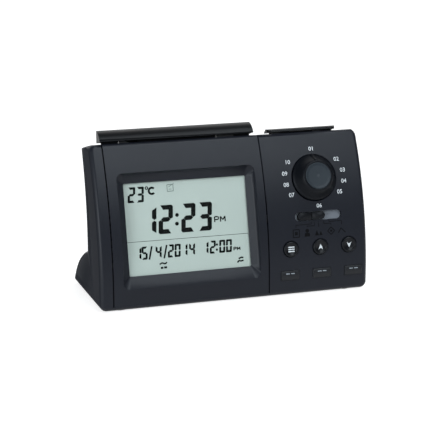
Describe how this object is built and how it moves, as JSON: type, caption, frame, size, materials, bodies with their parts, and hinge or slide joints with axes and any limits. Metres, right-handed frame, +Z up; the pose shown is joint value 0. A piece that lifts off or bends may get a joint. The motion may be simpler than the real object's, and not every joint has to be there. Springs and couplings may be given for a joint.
{
  "type": "azan clock",
  "caption": "Free-standing table alarm clock with a leaning curved front, recessed display, selector knob, slide switch, push controls, long top bar and a rounded rear foot.",
  "frame": {"origin": "middle of the base at the lowest plane, under the middle of the overall box", "axes": "+X to the viewer's right along the width, +Z up, and the front with the display faces -Y"},
  "size_m": [0.19, 0.079, 0.1155],
  "materials": {
    "case_plastic": "fine satin moulded",
    "fascia_plastic": "fine satin moulded",
    "bar_plastic": "gloss",
    "knob_plastic": "gloss",
    "knob_face": "satin",
    "button_plastic": "semi gloss",
    "key_plastic": "satin",
    "clear_window": "clear",
    "lcd_glass": "satin reflective display",
    "white_plastic": "moulded",
    "rubber": "matt",
    "board_green": "solder mask",
    "black_plastic": "matt",
    "speaker_paper": "pressed paper",
    "bright_metal": "nickel plated",
    "screw_steel": "zinc plated",
    "cell_jacket": "plain film jacket"
  },
  "bodies": {
    "case": {"front_cover": "case_plastic", "display_fascia": "fascia_plastic", "lcd_window": "clear_window", "lcd_panel": "lcd_glass", "lcd_holder": "white_plastic", "zebra_strips": "rubber", "main_board": "board_green", "board_screws": "screw_steel", "clock_chip": "black_plastic", "temperature_sensor": "black_plastic", "rotary_switch": "black_plastic", "switch_nut": "bright_metal", "slot_backing": "white_plastic", "slide_switch": "black_plastic", "slide_board": "board_green", "rubber_keypad": "rubber", "key_board": "board_green", "bar_board": "board_green", "bar_domes": "rubber", "rear_cover": "case_plastic", "battery_cells": "cell_jacket", "contact_plates": "bright_metal", "leaf_springs": "bright_metal", "speaker_basket": "bright_metal", "speaker_cone": "speaker_paper", "speaker_clamp": "black_plastic", "cover_screws": "screw_steel", "rubber_feet": "rubber"},
    "selector": {"selector_knob": "knob_plastic", "knob_cap": "knob_face", "selector_shaft": "bright_metal"},
    "slider": {"slide_lever": "button_plastic"},
    "snooze": {"snooze_bar": "bar_plastic"},
    "light": {"light_bar": "bar_plastic"},
    "set_press": {"set_button": "button_plastic"},
    "up_press": {"up_button": "button_plastic"},
    "down_press": {"down_button": "button_plastic"},
    "left_press": {"left_key": "key_plastic"},
    "middle_press": {"middle_key": "key_plastic"},
    "right_press": {"right_key": "key_plastic"},
    "door": {"battery_door": "case_plastic"}
  },
  "joints": [
    {"name": "selector_turn", "type": "hinge", "parent": "case", "child": "selector", "pos_m": [0.059, -0.02732, 0.079], "axis": [0, -0.9386, 0.345], "range_deg": [-180, 144]},
    {"name": "mode_slide", "type": "slide", "parent": "case", "child": "slider", "axis": [1, 0, 0], "range_m": [0, 0.0099]},
    {"name": "snooze_push", "type": "slide", "parent": "case", "child": "snooze", "axis": [0, -0.2874, -0.9578], "range_m": [0, 0.0012], "stiffness_N_per_m": 500, "springref_m": -0.0008},
    {"name": "light_push", "type": "slide", "parent": "case", "child": "light", "axis": [0, -0.2874, -0.9578], "range_m": [0, 0.0008], "stiffness_N_per_m": 500, "springref_m": -0.0006},
    {"name": "set_push", "type": "slide", "parent": "case", "child": "set_press", "axis": [0, 0.9935, -0.1135], "range_m": [0, 0.001], "stiffness_N_per_m": 300, "springref_m": -0.0003},
    {"name": "up_push", "type": "slide", "parent": "case", "child": "up_press", "axis": [0, 0.9935, -0.1135], "range_m": [0, 0.001], "stiffness_N_per_m": 300, "springref_m": -0.0003},
    {"name": "down_push", "type": "slide", "parent": "case", "child": "down_press", "axis": [0, 0.9935, -0.1135], "range_m": [0, 0.001], "stiffness_N_per_m": 300, "springref_m": -0.0003},
    {"name": "left_push", "type": "slide", "parent": "case", "child": "left_press", "axis": [0, 0.9997, -0.0235], "range_m": [0, 0.001], "stiffness_N_per_m": 300, "springref_m": -0.0003},
    {"name": "middle_push", "type": "slide", "parent": "case", "child": "middle_press", "axis": [0, 0.9997, -0.0235], "range_m": [0, 0.001], "stiffness_N_per_m": 300, "springref_m": -0.0003},
    {"name": "right_push", "type": "slide", "parent": "case", "child": "right_press", "axis": [0, 0.9997, -0.0235], "range_m": [0, 0.001], "stiffness_N_per_m": 300, "springref_m": -0.0003},
    {"name": "door_hinge", "type": "hinge", "parent": "case", "child": "door", "pos_m": [0, 0.03527, 0.00786], "axis": [-1, 0, 0], "range_deg": [0, 45]}
  ]
}
